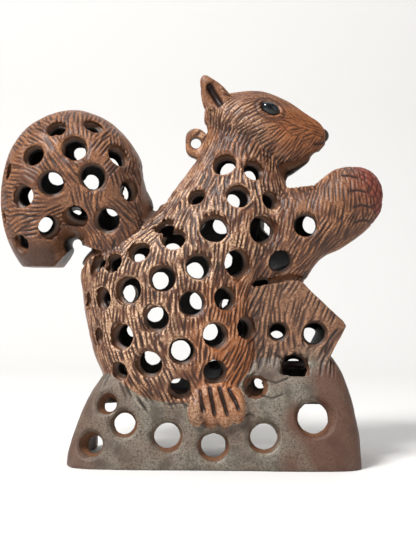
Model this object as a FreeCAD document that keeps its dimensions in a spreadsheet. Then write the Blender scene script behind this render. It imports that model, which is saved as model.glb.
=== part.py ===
"""Hollow, pierced squirrel lantern in hand-painted stoneware.

Millimetres. The squirrel faces +X and stands on the plane Z = 0, with its
right side towards -Y. The origin is the middle of the base on that plane.

Every hollow form is an outer solid less a cavity, split along the plane
Y = 0 into the two halves of its press mould, and cut back where it meets its
neighbour's outer solid, so the pieces sit face to face as luted clay does.
"""
import FreeCAD, Part
import Sketcher
import math
import os

from FreeCAD import Placement, Rotation, Vector

doc = FreeCAD.newDocument("squirrel_lantern")

# ---------------------------------------------------------------- driving sizes
SIZES = {
    "wall": 8.0,             # thickness of the clay
    "thin_wall": 6.4,        # thickness in the head and the arms
    "base_length": 158.0,    # foot slab along X
    "base_depth": 80.0,      # foot slab along Y
    "base_height": 60.0,
    "door_height": 27.5,     # candle opening in the back of the slab
    "door_margin": 2.0,      # clay left between that opening and the cavity's end
    "body_seat": 26.0,       # where the haunches start above the rest plane
    "body_length": 106.0,    # haunch to chest along X
    "body_depth": 88.0,
    "body_rise": 159.0,      # seat to the top of the neck
    "head_length": 68.0,
    "head_depth": 43.0,
    "head_height": 45.0,
    "tail_reach": 75.0,      # from the middle of the curl to its outer edge
    "tail_depth": 64.0,
    "tail_pinch": 3.0,       # how near the curl closes on its own middle
    "tail_drop": 12.8,       # tip's flat end below the middle of the curl
    "arm_length": 66.0,
    "arm_rise": 60.0,
    "arm_width": 32.0,
    "arm_offset": 13.0,      # arm's middle from the plane Y = 0
    "stump_depth": 60.0,
    "ear_thickness": 6.6,
    "ear_spread": 12.0,
    "eye_length": 10.6,
    "eye_height": 7.0,
    "nut_length": 30.0,
    "nut_height": 32.0,
    "nut_width": 28.0,
    "toe_width": 8.8,
    "lug_bore": 6.0,         # cord hole at the nape
    "lug_rim": 2.8,          # clay round that hole
    "lug_gap": 0.6,          # that hole's edge from the nape
    "lug_width": 7.5,
    "lug_stretch": 5.0,      # height of the lug's straight middle
    "hole_mouth": 16.0,      # diameter of a usual hole at the surface
    "hole_flare": 2.5,       # how much its radius closes through the wall
    "base_flare": 3.6,       # the same for the slab's holes
    "hole_lead": 4.0,        # cutter's start outside the surface
    "hole_reach": 1.6,       # cutter's end inside, in wall thicknesses
}

sheet = doc.addObject("Spreadsheet::Sheet", "sizes")
for row, (alias, value) in enumerate(SIZES.items(), start=1):
    sheet.set(f"A{row}", str(value))
    sheet.setAlias(f"A{row}", alias)
doc.recompute()


def size(alias):
    """Value of a driving size, read back from the sheet."""
    return float(sheet.get(alias))


WALL = size("wall")
THIN_WALL = size("thin_wall")
PAST = 1.0                   # how far a cutter runs past a face that it opens

# ------------------------------------------------------------- document helpers


def bound(kind, name, **expressions):
    """Object of the document whose properties follow expressions of the sheet."""
    item = doc.addObject(kind, name)
    for prop, expression in expressions.items():
        item.setExpression(prop, expression)
    return item


def solid_feature(name, shape):
    """Freeform solid, whose sections were read from the sheet."""
    item = doc.addObject("Part::Feature", name)
    item.Shape = shape
    return item


def cut(name, base, *tools):
    """base less every tool; several tools are removed as one compound."""
    item = doc.addObject("Part::Cut", name)
    item.Base = base
    item.Tool = tools[0] if len(tools) == 1 else gather(name + "_tools", tools)
    return item


def gather(name, items):
    """Fusion of items, or the item itself when there is one."""
    if len(items) == 1:
        return items[0]
    item = doc.addObject("Part::MultiFuse", name)
    item.Shapes = list(items)
    return item


def common(name, first, second):
    item = doc.addObject("Part::Common", name)
    item.Base = first
    item.Tool = second
    return item


# ---------------------------------------------------------------- freeform lofts


def oval(place, low, high, half, fullness):
    """Closed smooth outline in the plane of place, from low to high along its
    first axis and half either side on its second. fullness is the length of
    the four curves' tangents: 0.55 gives an ellipse, 1 nearly a rectangle."""
    middle, reach = (low + high) / 2, (high - low) / 2
    corners = [(1, 0), (0, 1), (-1, 0), (0, -1), (1, 0)]
    edges = []
    for (x0, y0), (x1, y1) in zip(corners, corners[1:]):
        poles = [
            (x0, y0),
            (x0 + fullness * x1, y0 + fullness * y1),
            (x1 + fullness * x0, y1 + fullness * y0),
            (x1, y1),
        ]
        curve = Part.BSplineCurve()
        points = [place.multVec(Vector(middle + reach * u, half * v, 0)) for u, v in poles]
        curve.buildFromPolesMultsKnots(points, [4, 4], [0, 1], False, 3)
        edges.append(curve.toShape())
    return Part.Wire(edges)


def level(height, sideways=0.0):
    """Plane of a horizontal section: first axis +X, second +Y."""
    return Placement(Vector(0, sideways, height), Rotation())


def upright(along, height, sideways=0.0):
    """Plane of a section across X: first axis +Z, second +Y."""
    turned = Rotation(Vector(0, 0, 1), Vector(0, 1, 0), Vector(-1, 0, 0), "ZXY")
    return Placement(Vector(along, sideways, height), turned)


def spoke(centre, angle):
    """Plane through a line along Y at centre, its first axis at angle from +X."""
    turn = Rotation(Vector(0, 1, 0), -angle)
    return Placement(centre, turn)


def loft(name, outlines):
    """Solid through the outlines; cubic, so that it doesn't swing between them."""
    return solid_feature(name, Part.makeLoft(outlines, True, False, False, 3))


# ------------------------------------------------------------------- foot slab
# Each row: height, left and right end, half depth, in per cent of the slab's
# height, length and half depth.
BASE_FULLNESS = 1.12
BASE_ROWS = [
    (0, -50, 50, 100),
    (20, -48.8, 49.4, 99),
    (39, -46.4, 48.4, 97),
    (58, -43.3, 46.6, 94),
    (77, -39, 44.4, 88),
    (90, -34.6, 42, 81),
    (100, -30, 38.5, 72),
]


def base_outlines(inset):
    """Sections of the slab, or with inset those of its open-bottomed cavity."""
    length, half, height = size("base_length"), size("base_depth") / 2, size("base_height")
    rows = BASE_ROWS[:-1] if inset else BASE_ROWS
    outlines = []
    for up, left, right, deep in rows:
        z = up / 100 * height
        if inset:
            z = min(z, height - inset) if up else -PAST
        outlines.append(oval(level(z), left / 100 * length + inset, right / 100 * length - inset,
                             deep / 100 * half - inset, BASE_FULLNESS))
    return outlines


base_outer = loft("base_outer", base_outlines(0))
base_cavity = loft("base_cavity", base_outlines(WALL))

# ------------------------------------------------------------------------ body
# Each row: height, rump and chest side, half depth, in per cent of the rise
# above the seat, the length and the half depth; then the outline's fullness.
BODY_ROWS = [
    (0, -43, 9, 55, 0.62),
    (4, -51, 17, 78, 0.72),
    (8, -55, 21, 89, 0.76),
    (13, -58, 25, 95, 0.75),
    (22, -64, 28, 99, 0.70),
    (33, -68, 29, 100, 0.62),
    (47, -71, 31, 98, 0.58),
    (54, -69, 36, 94, 0.57),
    (60, -58, 40, 89, 0.56),
    (66, -42, 42, 82, 0.56),
    (72, -31, 42, 75, 0.56),
    (79, -21, 39, 66, 0.56),
    (85, -14, 36, 57, 0.56),
    (91, -9, 33, 49, 0.56),
    (100, -6, 25, 38, 0.56),
]


def body_point(across, up):
    """X and Z of a point given in per cent of the body's length and rise."""
    return across / 100 * size("body_length"), size("body_seat") + up / 100 * size("body_rise")


def body_outlines(inset):
    half = size("body_depth") / 2
    outlines = []
    for up, rump, chest, deep, fullness in BODY_ROWS:
        low, z = body_point(rump, up)
        high = body_point(chest, up)[0]
        if inset and up == 0:
            z -= PAST
        if inset and up == 100:
            z -= inset / 2
        outlines.append(oval(level(z), low + inset, high - inset,
                             deep / 100 * half - inset, fullness))
    return outlines


body_outer = loft("body_outer", body_outlines(0))
body_cavity = loft("body_cavity", body_outlines(WALL))

# ------------------------------------------------------------------------ head
# Each row: distance from the back of the skull, lower and upper edge, half
# depth, in per cent of the head's length, height and half depth.
HEAD_FULLNESS = 0.58
HEAD_ROWS = [
    (0, 11, 28, 20),
    (6, -4, 42, 55),
    (16, -18, 48, 84),
    (31, -28, 51, 98),
    (47, -39, 51, 100),
    (57, -49, 47, 97),
    (66, -54, 41, 90),
    (74, -49, 34, 78),
    (82, -40, 26, 64),
    (90, -30, 18, 48),
    (96, -19, 10, 34),
    (99, -12, 5, 22),
]
HEAD_HOLLOW = (16, 82)       # part of the length that the cavity takes
SKULL_X, NECK_TOP = body_point(-6.6, 98.2)


def head_point(along, up):
    """X and Z of a point given in per cent of the head's length and height."""
    return SKULL_X + along / 100 * size("head_length"), NECK_TOP + up / 100 * size("head_height")


def head_outlines(inset):
    half = size("head_depth") / 2
    outlines = []
    for along, under, over, deep in HEAD_ROWS:
        if inset and not HEAD_HOLLOW[0] <= along <= HEAD_HOLLOW[1]:
            continue
        x, low = head_point(along, under)
        high = head_point(along, over)[1]
        outlines.append(oval(upright(x, 0), low + inset, high - inset,
                             deep / 100 * half - inset, HEAD_FULLNESS))
    return outlines


head_outer = loft("head_outer", head_outlines(0))
head_cavity = loft("head_cavity", head_outlines(THIN_WALL))

# ------------------------------------------------------------------------ tail
# The curl is a sweep of ovals standing on spokes about its middle. Each row:
# the spoke's angle from +X, its outer end and half depth in per cent.
TAIL_FULLNESS = 0.60
TAIL_ROWS = [
    (-12, 56, 84),
    (25, 63, 94),
    (53, 78, 98),
    (75, 94, 100),
    (95, 100, 100),
    (118, 91, 99),
    (139, 73, 95),
    (160, 59, 89),
    (185, 48, 81),
    (205, 43, 75),
    (232, 36, 64),
]
TAIL_HOLLOW_END = 205        # spoke at which the cavity stops short of the tip
CURL_X, CURL_Z = body_point(-73.4, 58.4)


def tail_outlines(inset):
    centre = Vector(CURL_X, 0, CURL_Z)
    outlines = []
    for angle, reach, deep in TAIL_ROWS:
        if inset and angle > TAIL_HOLLOW_END:
            continue
        outlines.append(oval(spoke(centre, angle), size("tail_pinch") + inset,
                             reach / 100 * size("tail_reach") - inset,
                             deep / 200 * size("tail_depth") - inset, TAIL_FULLNESS))
    return outlines


tail_sweep = loft("tail_sweep", tail_outlines(0))
below_tip = solid_feature("below_tip", Part.makeBox(
    size("tail_reach"), 2 * size("tail_depth"), size("tail_reach"),
    Vector(CURL_X - size("tail_reach"), -size("tail_depth"),
           CURL_Z - size("tail_drop") - size("tail_reach"))))
tail_outer = cut("tail_outer", tail_sweep, below_tip)
tail_cavity = loft("tail_cavity", tail_outlines(WALL))

# ------------------------------------------------------------------------ arms
# Each row: distance from the shoulder, lower and upper edge, half width, in
# per cent of the arm's length, rise and half width.
ARM_FULLNESS = 0.60
ARM_ROWS = [
    (0, -52, 43, 100),
    (12, -49, 47, 100),
    (23, -44, 49, 98),
    (35, -38, 50, 95),
    (45, -22, 53, 92),
    (56, -11, 62, 88),
    (67, -6, 68, 84),
    (77, 1, 69, 78),
    (86, 9, 67, 70),
    (94, 18, 60, 54),
    (100, 29, 51, 28),
]
ARM_HOLLOW_END = 67
SHOULDER_X, SHOULDER_Z = body_point(22.6, 60)


def arm_outlines(side, inset):
    """Sections of one arm; side is -1 for the right arm and 1 for the left."""
    outlines = []
    for along, under, over, wide in ARM_ROWS:
        if inset and along > ARM_HOLLOW_END:
            continue
        x = SHOULDER_X + along / 100 * size("arm_length")
        half = wide / 200 * size("arm_width")
        middle = size("arm_offset") - (inset / 2 if inset else 0)
        outlines.append(oval(upright(x, SHOULDER_Z, side * middle),
                             under / 100 * size("arm_rise") + inset,
                             over / 100 * size("arm_rise") - inset,
                             half - inset / 2, ARM_FULLNESS))
    return outlines


SIDES = {"right": -1, "left": 1}
arm_outer = {name: loft(f"arm_outer_{name}", arm_outlines(side, 0)) for name, side in SIDES.items()}
arm_cavity = {name: loft(f"arm_cavity_{name}", arm_outlines(side, THIN_WALL))
              for name, side in SIDES.items()}

# ------------------------------------------------------- sketched bodies: helpers


def origin_plane(body, role):
    return [f for f in body.Origin.OriginFeatures if f.Role == role][0]


def attached_sketch(body, name, role):
    sketch = body.newObject("Sketcher::SketchObject", name)
    sketch.AttachmentSupport = [(origin_plane(body, role), "")]
    sketch.MapMode = "FlatFace"
    return sketch


def dimension(sketch, kind, values, start, expression):
    """Dimensional constraint whose value follows an expression of the sheet."""
    number = sketch.addConstraint(Sketcher.Constraint(kind, *values, start))
    sketch.setExpression(f"Constraints[{number}]", expression)


# ----------------------------------------------------------------------- stump
# Corners of the tree stump in per cent of the body's length and rise.
STUMP_CORNERS = [(16, 12), (16, 44), (40, 46.5), (43.4, 45.7), (63.7, 33.3), (65.6, 31.4),
                 (57.7, 20.9), (56, 12)]
STUMP_SHARP = [(16, 12), (16, 44), (42, 47.2), (66, 32), (57.7, 20.9), (56, 12)]


def corner_shifts(points, inset):
    """How far each corner of a clockwise outline moves when every side moves
    inwards by inset."""
    shifts = []
    for i, point in enumerate(points):
        before = (point - points[i - 1]).normalize()
        after = (points[(i + 1) % len(points)] - point).normalize()
        inward = Vector(before.y + after.y, -before.x - after.x, 0)
        shifts.append(inward * (inset / (1 + before.dot(after))))
    return shifts


def polygon_body(name, corners, depth_expression, inset):
    """PartDesign body: a polygon on the XZ plane padded both ways. Every
    corner's X and Z are constraints that follow the body's length and rise."""
    body = doc.addObject("PartDesign::Body", name)
    sketch = attached_sketch(body, name + "_outline", "XZ_Plane")
    count = len(corners)
    outer = [Vector(*body_point(across, up), 0) for across, up in corners]
    places, rules = [], []
    for (across, up), point, shift in zip(corners, outer, corner_shifts(outer, inset)):
        places.append(point + shift)
        rules.append((f"{across / 100} * sizes.body_length + {shift.x}",
                      f"sizes.body_seat + {up / 100} * sizes.body_rise + {shift.y}"))
    for i in range(count):
        sketch.addGeometry(Part.LineSegment(places[i], places[(i + 1) % count]))
    for i in range(count):
        sketch.addConstraint(Sketcher.Constraint("Coincident", i, 2, (i + 1) % count, 1))
    for i in range(count):
        dimension(sketch, "DistanceX", (-1, 1, i, 1), places[i].x, rules[i][0])
        dimension(sketch, "DistanceY", (-1, 1, i, 1), places[i].y, rules[i][1])
    pad = body.newObject("PartDesign::Pad", name + "_pad")
    pad.Profile = sketch
    pad.Midplane = True
    pad.setExpression("Length", depth_expression)
    body.Tip = pad
    return body


stump_outer = polygon_body("stump_outer", STUMP_CORNERS, "sizes.stump_depth", 0)
stump_cavity = polygon_body("stump_cavity", STUMP_SHARP, "sizes.stump_depth - 2 * sizes.wall", WALL)

# ----------------------------------------------------------------- hanging lug
NAPE = (-7.8, 94.4)          # in per cent of the body's length and rise
LUG_X, LUG_Z = body_point(*NAPE)
LUG_X -= size("lug_gap") + size("lug_bore") / 2
LUG_X_RULE = f"{NAPE[0] / 100} * sizes.body_length - sizes.lug_gap - sizes.lug_bore / 2"
LUG_Z_RULE = f"sizes.body_seat + {NAPE[1] / 100} * sizes.body_rise"


def lug_body():
    """Upright slot-shaped tab with a round hole, padded across the plane Y = 0."""
    body = doc.addObject("PartDesign::Body", "lug_outer")
    sketch = attached_sketch(body, "lug_outline", "XZ_Plane")
    radius = size("lug_bore") / 2 + size("lug_rim")
    top, bottom = LUG_Z + size("lug_stretch") / 2, LUG_Z - size("lug_stretch") / 2
    axis = Vector(0, 0, 1)
    upper = Part.ArcOfCircle(Part.Circle(Vector(LUG_X, top, 0), axis, radius), 0, math.pi)
    lower = Part.ArcOfCircle(Part.Circle(Vector(LUG_X, bottom, 0), axis, radius), math.pi, 2 * math.pi)
    sketch.addGeometry(upper)
    sketch.addGeometry(lower)
    for x, first, last in ((LUG_X - radius, top, bottom), (LUG_X + radius, bottom, top)):
        sketch.addGeometry(Part.LineSegment(Vector(x, first, 0), Vector(x, last, 0)))
    sketch.addGeometry(Part.Circle(Vector(LUG_X, LUG_Z, 0), axis, size("lug_bore") / 2))
    for first, second in (((0, 2), (2, 1)), ((2, 2), (1, 1)), ((1, 2), (3, 1)), ((3, 2), (0, 1))):
        sketch.addConstraint(Sketcher.Constraint("Tangent", *first, *second))
    dimension(sketch, "Radius", (0,), radius, "sizes.lug_bore / 2 + sizes.lug_rim")
    dimension(sketch, "Diameter", (4,), size("lug_bore"), "sizes.lug_bore")
    dimension(sketch, "DistanceX", (-1, 1, 4, 3), LUG_X, LUG_X_RULE)
    dimension(sketch, "DistanceY", (-1, 1, 4, 3), LUG_Z, LUG_Z_RULE)
    dimension(sketch, "DistanceX", (-1, 1, 0, 3), LUG_X, LUG_X_RULE)
    dimension(sketch, "DistanceY", (1, 3, 4, 3), size("lug_stretch") / 2, "sizes.lug_stretch / 2")
    dimension(sketch, "DistanceY", (4, 3, 0, 3), size("lug_stretch") / 2, "sizes.lug_stretch / 2")
    pad = body.newObject("PartDesign::Pad", "lug_pad")
    pad.Profile = sketch
    pad.Midplane = True
    pad.setExpression("Length", "sizes.lug_width")
    body.Tip = pad
    return body


lug_outer = lug_body()

# -------------------------------------------------------------- pressed-on beads


def ellipsoid(name, centre, along_x, along_y, along_z, turn=Rotation()):
    """Ellipsoid whose three radii are expressions of the sheet. The primitive's
    first radius is along its own Z and its second along X."""
    item = bound("Part::Ellipsoid", name, Radius1=along_z, Radius2=along_x, Radius3=along_y)
    item.Angle1, item.Angle2, item.Angle3 = -90, 90, 360
    item.Placement = Placement(centre, turn)
    return item


NOSE_SINK = 0.068            # nose's middle behind the snout, in head heights
EYE_X, EYE_Z = head_point(52, 24.5)
EYE_TILT = 25                # front corner lower
NOSE_X, NOSE_Z = head_point(99, -1)
NOSE_X -= NOSE_SINK * size("head_height")
NUT_X, NUT_Z = body_point(73.6, 76.7)
EYE_SINK = 0.86              # eye's middle, in shares of the head's half depth
EYE_BULGE = 0.83             # half depth of the eye, in shares of its half height
NOSE_RADII = (0.08, 0.10, 0.09)     # along X, Y and Z, in shares of the head's height

nut_bead = ellipsoid("nut_bead", Vector(NUT_X, 0, NUT_Z),
                     "sizes.nut_length / 2", "sizes.nut_width / 2", "sizes.nut_height / 2")
nose_bead = ellipsoid("nose_bead", Vector(NOSE_X, 0, NOSE_Z),
                      *[f"sizes.head_height * {share}" for share in NOSE_RADII])
eye_bead = {}
for side_name, side in SIDES.items():
    eye_bead[side_name] = ellipsoid(
        f"eye_bead_{side_name}", Vector(EYE_X, side * EYE_SINK * size("head_depth") / 2, EYE_Z),
        "sizes.eye_length / 2", f"sizes.eye_height / 2 * {EYE_BULGE}", "sizes.eye_height / 2",
        Rotation(Vector(0, 1, 0), EYE_TILT))

# ------------------------------------------------------------------------ ears
# Each row: height, back and front edge in per cent of the head's height and
# length, half thickness in per cent.
EAR_ROWS = [
    (25, 2.5, 26, 100),
    (38, -1.6, 22.5, 98),
    (50, -3.6, 17, 90),
    (59, -4.2, 10.5, 72),
    (64, -3.4, 5.5, 50),
    (67, -1.6, 1.8, 24),
]


EAR_FULLNESS = 0.60
EAR_DISH = (7, 44)           # middle of the dish, in the same per cents
DISH_RADII = ("sizes.ear_thickness * 0.75", "sizes.ear_thickness * 0.42",
              "sizes.head_height * 0.17")


def ear_outlines(side):
    outlines = []
    for up, back, front, thick in EAR_ROWS:
        low, z = head_point(back, up)
        high = head_point(front, up)[0]
        half = thick / 200 * size("ear_thickness")
        outlines.append(oval(level(z, side * size("ear_spread")), low, high, half, EAR_FULLNESS))
    return outlines


def ear(side_name, side):
    """Leaf-shaped ear with a dished outer face, sitting on the skull."""
    leaf = loft(f"ear_leaf_{side_name}", ear_outlines(side))
    x, z = head_point(*EAR_DISH)
    dish = ellipsoid(f"ear_dish_{side_name}",
                     Vector(x, side * (size("ear_spread") + size("ear_thickness") / 2), z),
                     *DISH_RADII)
    return cut(f"ear_{side_name}", leaf, dish, head_outer)


# ------------------------------------------------------------------------ feet
# Toes across the front of the slab: X in per cent of the body's length, Z of
# the middle in per cent of its rise.
TOES = [(-9, 3.4), (-2, 2.6), (5, 3.0), (11, 4.4)]
TOE_HEIGHT = 0.05            # half height, in shares of the rise
DOOR_CLEARANCE = 1.0         # left foot's toes above the candle opening
TOE_REACH = 0.62             # how far a toe stands out, in toe widths
INSTEP = (0.5, 7.5)
INSTEP_RADII = (1.65, 0.85)  # along X and Y, in toe widths
INSTEP_HEIGHT = 0.0575       # half height, in shares of the rise
INSTEP_SINK = 0.94           # its middle, in shares of the slab's half depth


def foot_lift(side_name):
    """The left foot stands higher than the right, so that it clears the opening."""
    lowest = min(body_point(0, up)[1] for _, up in TOES) - TOE_HEIGHT * size("body_rise")
    clear = size("door_height") + DOOR_CLEARANCE
    return max(0.0, clear - lowest) if side_name == "left" else 0.0


def foot(side_name, side):
    """Four toes and an instep, against the slab and the haunch."""
    face = side * size("base_depth") / 2
    lift = foot_lift(side_name)
    lumps = []
    for number, (across, up) in enumerate(TOES, start=1):
        x, z = body_point(across, up)
        lumps.append(ellipsoid(f"toe_{side_name}_{number}", Vector(x, face, z + lift),
                               "sizes.toe_width / 2", f"sizes.toe_width * {TOE_REACH}",
                               f"sizes.body_rise * {TOE_HEIGHT}"))
    x, z = body_point(*INSTEP)
    along_x, along_y = INSTEP_RADII
    lumps.append(ellipsoid(f"instep_{side_name}", Vector(x, face * INSTEP_SINK, z + lift),
                           f"sizes.toe_width * {along_x}", f"sizes.toe_width * {along_y}",
                           f"sizes.body_rise * {INSTEP_HEIGHT}"))
    lump = gather(f"foot_lump_{side_name}", lumps)
    return cut(f"foot_{side_name}", lump, base_outer, body_outer)


# ----------------------------------------------------------------------- holes
# Positions in per cent of each form's own sizes, from its own start, as in
# HOLE_FRAME. The third number is the hole's size in shares of hole_mouth.
NEAR_HOLES = {
    "tail": [
        (2, 68, 1.00), (-28, 63, 0.86), (15, 86, 0.80), (-12, 83, 0.80),
        (34, 64, 0.92), (15, 47, 1.06), (-14, 42, 1.0), (-35, 33, 0.88),
        (42, 38, 0.80), (3, 19, 0.86), (25, 16, 1.0), (-15, 11, 0.86),
        (-38, -1, 0.75), (-49, 52, 0.72), (-52, 18, 0.70),
    ],
    "body": [
        (-61.4, 51.6, 0.80), (-52.4, 52.3, 0.80), (-38.9, 56.1, 0.86), (-27, 64.8, 0.76),
        (-21.7, 60.5, 0.92), (-1.2, 64, 1.12), (-57.5, 39.8, 0.85), (-66, 39, 0.72),
        (-44.3, 42.9, 1.06), (-26.8, 47, 1.02), (-8.5, 51.1, 1.0), (11.1, 52, 1.06),
        (-29.8, 33.6, 0.98), (-11.5, 38.8, 1.0), (5.1, 40.5, 0.90), (-47.4, 27.5, 0.98),
        (-60, 27, 0.72), (-16.6, 22.8, 1.0), (0.4, 28.4, 0.98), (-33.1, 18.3, 1.0),
        (-48.3, 15.7, 0.74), (-17.6, 10.3, 0.86), (0, 16.2, 0.90), (15.8, 30.7, 0.84),
        (21.5, 42.4, 0.80), (23.4, 63.5, 1.06), (3.2, 86.1, 0.92), (19, 84.2, 0.84),
        (-10.8, 74.6, 0.72), (10.9, 74.9, 0.94), (27.5, 73.8, 0.72),
    ],
    "arm": [(36, 14, 0.92), (16, -20, 0.90)],
    "stump": [(49.8, 28.7, 0.94), (39.8, 17.5, 0.96), (31.3, 29.3, 0.74)],
    "base": [
        (-41.8, 21.7, 1.04), (-36.4, 57.8, 0.90), (-30.5, 40, 1.08), (-16, 30, 1.22),
        (-0.4, 21.8, 1.18), (16.5, 30, 1.26), (33.3, 46.7, 1.42), (13.5, 73.5, 0.90),
    ],
}
FAR_HOLES = {
    "tail": [
        (-1, 74, 0.86), (-27, 89, 0.76), (27, 66, 0.86), (6, 49, 0.86),
        (-21, 55, 0.92), (-42, 38, 0.86), (39, 42, 0.86), (24, 28, 0.80),
        (-29, 14, 0.86), (-4, 20, 0.80),
    ],
    "body": [
        (-45.5, 54.8, 0.86), (-25.4, 58.6, 0.90), (-50.7, 41, 0.92), (-32.1, 46.5, 0.92),
        (-10.9, 50, 0.94), (7.7, 53.6, 0.86), (22, 50.5, 0.80), (-35.2, 33.7, 0.92),
        (-8.3, 38.8, 0.92), (9.5, 36.8, 0.86), (-49.2, 27.7, 0.80), (-19, 19.5, 0.98),
        (-1.6, 27.4, 0.94), (-64, 36, 0.70), (-22.8, 8.5, 0.74), (-22, 29, 0.86),
        (3.5, 67.8, 0.92), (31.7, 66.5, 0.84), (18, 61.3, 0.86), (35.2, 56, 0.74),
        (8.5, 76.3, 0.86), (4.7, 87.4, 0.86), (19.6, 84.8, 0.80), (-12, 69, 0.84),
        (2, 15.5, 0.90), (-36, 17, 0.90),
    ],
    "arm": [(49, 19, 0.92)],
    "stump": [(51.4, 26, 0.92), (43.2, 14.2, 1.0), (33.7, 25.4, 0.80)],
    "base": [(17.1, 68.8, 0.84), (-33, 66, 0.84), (-14, 68, 0.90), (2, 70, 0.84)],
}


# For each form: X and Z that its holes are measured from, and the two sizes
# that their per cents are of.
HOLE_FRAME = {
    "tail": (CURL_X, CURL_Z, size("tail_reach"), size("tail_reach")),
    "body": (0, size("body_seat"), size("body_length"), size("body_rise")),
    "arm": (SHOULDER_X, SHOULDER_Z, size("arm_length"), size("arm_rise")),
    "stump": (0, size("body_seat"), size("body_length"), size("body_rise")),
    "base": (0, 0, size("base_length"), size("base_height")),
}


def hole_axis(outer, x, z, side):
    """Point where a line along Y enters outer from that side, and the inward
    normal of the surface there."""
    outside = Vector(x, side * 2 * size("base_depth"), z)
    inside = Part.makeLine(outside, Vector(x, 0, z)).common(outer.Shape)
    point = min((v.Point for v in inside.Vertexes), key=lambda p: p.distanceToPoint(outside))
    near = outer.Shape.distToShape(Part.Vertex(point))[2][0]
    if near[0] != "Face":
        return point, Vector(0, -side, 0)
    inward = outer.Shape.Faces[near[1]].normalAt(*near[2]) * -1
    return point, inward


def hole_cutter(name, outer, x, z, share, side, flare):
    """Cone that narrows inwards along the surface's normal; flare is a size."""
    point, inward = hole_axis(outer, x, z, side)
    mouth = f"sizes.hole_mouth * {share / 2}"
    cone = bound("Part::Cone", name,
                 Radius1=f"{mouth} + sizes.{flare} * sizes.hole_lead / sizes.wall",
                 Radius2=f"{mouth} - sizes.{flare} * sizes.hole_reach",
                 Height="sizes.hole_lead + sizes.hole_reach * sizes.wall")
    start = point - inward * size("hole_lead")
    cone.Placement = Placement(start, Rotation(Vector(0, 0, 1), inward))
    return cone


FLARE_OF = {"base": "base_flare"}


def hole_set(form, holes, outer, side_name):
    """All the cutters of one form on one side, as a compound."""
    cones = []
    start_x, start_z, length, height = HOLE_FRAME[form]
    for number, (across, up, share) in enumerate(holes, start=1):
        x, z = start_x + across / 100 * length, start_z + up / 100 * height
        cones.append(hole_cutter(f"{form}_{side_name}_hole_{number}", outer, x, z, share,
                                 SIDES[side_name], FLARE_OF.get(form, "hole_flare")))
    pack = doc.addObject("Part::Compound", f"{form}_{side_name}_holes")
    pack.Links = cones
    return pack


doc.recompute()
HOLES = {}
for side_name, table in (("right", NEAR_HOLES), ("left", FAR_HOLES)):
    outers = {"tail": tail_outer, "body": body_outer, "arm": arm_outer[side_name],
              "stump": stump_outer, "base": base_outer}
    for form, holes in table.items():
        HOLES[form, side_name] = hole_set(form, holes, outers[form], side_name)

# --------------------------------------------------------------- mould half-planes
HALF = {}
for side_name, side in SIDES.items():
    reach = 2 * size("base_length")
    box = Part.makeBox(2 * reach, reach, 2 * reach, Vector(-reach, min(0, side * reach), -reach))
    HALF[side_name] = solid_feature(f"{side_name}_half", box)


def pierced_half(name, side_name, outer, removed, hole_forms):
    """One mould half: outer's half, less what is removed, then its holes."""
    half = common(name + "_half", outer, HALF[side_name])
    hollow = half
    for number, tool in enumerate(removed, start=1):
        hollow = cut(f"{name}_hollow_{number}", hollow, tool)
    for number, form in enumerate(hole_forms, start=1):
        hollow = cut(f"{name}_pierced_{number}", hollow, HOLES[form, side_name])
    return hollow


# ------------------------------------------------------------------ candle door
door_box = solid_feature("door_box", Part.makeBox(
    size("base_length") - 2 * (size("wall") + size("door_margin")), size("base_depth"),
    size("door_height") + PAST,
    Vector(-size("base_length") / 2 + size("wall") + size("door_margin"),
           size("base_depth") / 4, -PAST)))

# ----------------------------------------------------------------------- nodes
NODES = {}
NODES["base_front_shell"] = pierced_half(
    "base_front", "right", base_outer, [base_cavity, body_outer, stump_outer], ["base", "stump"])
NODES["base_back_shell"] = pierced_half(
    "base_back", "left", base_outer, [base_cavity, body_outer, stump_outer, door_box],
    ["base", "stump"])
for side_name, label in (("right", "stump_front_shell"), ("left", "stump_back_shell")):
    NODES[label] = pierced_half(label, side_name, stump_outer,
                                [stump_cavity, base_cavity, body_outer, arm_outer[side_name]],
                                ["stump", "base"])
for side_name in SIDES:
    NODES[f"body_{side_name}_shell"] = pierced_half(
        f"body_{side_name}", side_name, body_outer,
        [body_cavity, base_cavity, tail_cavity, arm_cavity[side_name], head_outer],
        ["body", "arm", "tail"])
    NODES[f"tail_{side_name}_shell"] = pierced_half(
        f"tail_{side_name}", side_name, tail_outer, [tail_cavity, body_outer], ["tail", "body"])
    NODES[f"arm_{side_name}"] = pierced_half(
        f"arm_{side_name}", side_name, arm_outer[side_name],
        [arm_cavity[side_name], body_outer, nut_bead], ["arm", "body"])
    NODES[f"ear_{side_name}"] = ear(side_name, SIDES[side_name])
    NODES[f"eye_{side_name}"] = eye_bead[side_name]
    NODES[f"foot_{side_name}"] = foot(side_name, SIDES[side_name])
NODES["head"] = cut("head_hollow", cut("head_socketed", head_outer, *eye_bead.values()),
                    head_cavity, body_cavity)
NODES["nose_tip"] = cut("nose_cap", nose_bead, head_outer)
NODES["nut"] = nut_bead
NODES["hanging_lug"] = cut("lug_seated", lug_outer, body_outer, head_outer)

doc.recompute()

# --------------------------------------------------------------- checks and files
failed = [item.Name for item in doc.Objects
          if "Invalid" in item.State or "Error" in item.State]
if failed:
    raise RuntimeError(f"features failed: {failed}")

os.makedirs("parts", exist_ok=True)
for label, item in NODES.items():
    item.Label = label
    shape = item.Shape
    if shape.isNull() or not shape.isValid() or not shape.Solids:
        raise RuntimeError(f"{label} has no valid solid")
    shape.exportStep(f"parts/{label}.step")
    print(f"{label}: {len(shape.Solids)} solid(s), {shape.Volume / 1000:.1f} cm3")
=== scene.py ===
"""Hollow, pierced squirrel lantern in hand-painted stoneware.

The clay pieces are taken from the frame, luted into one skin, softened as wet
clay is, scored with fur and bark strokes, washed with colour, and then parted
again into the same named pieces. Metres throughout; MM turns millimetres.
"""

import math

import bpy
import numpy as np
from mathutils import Matrix, Vector


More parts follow.
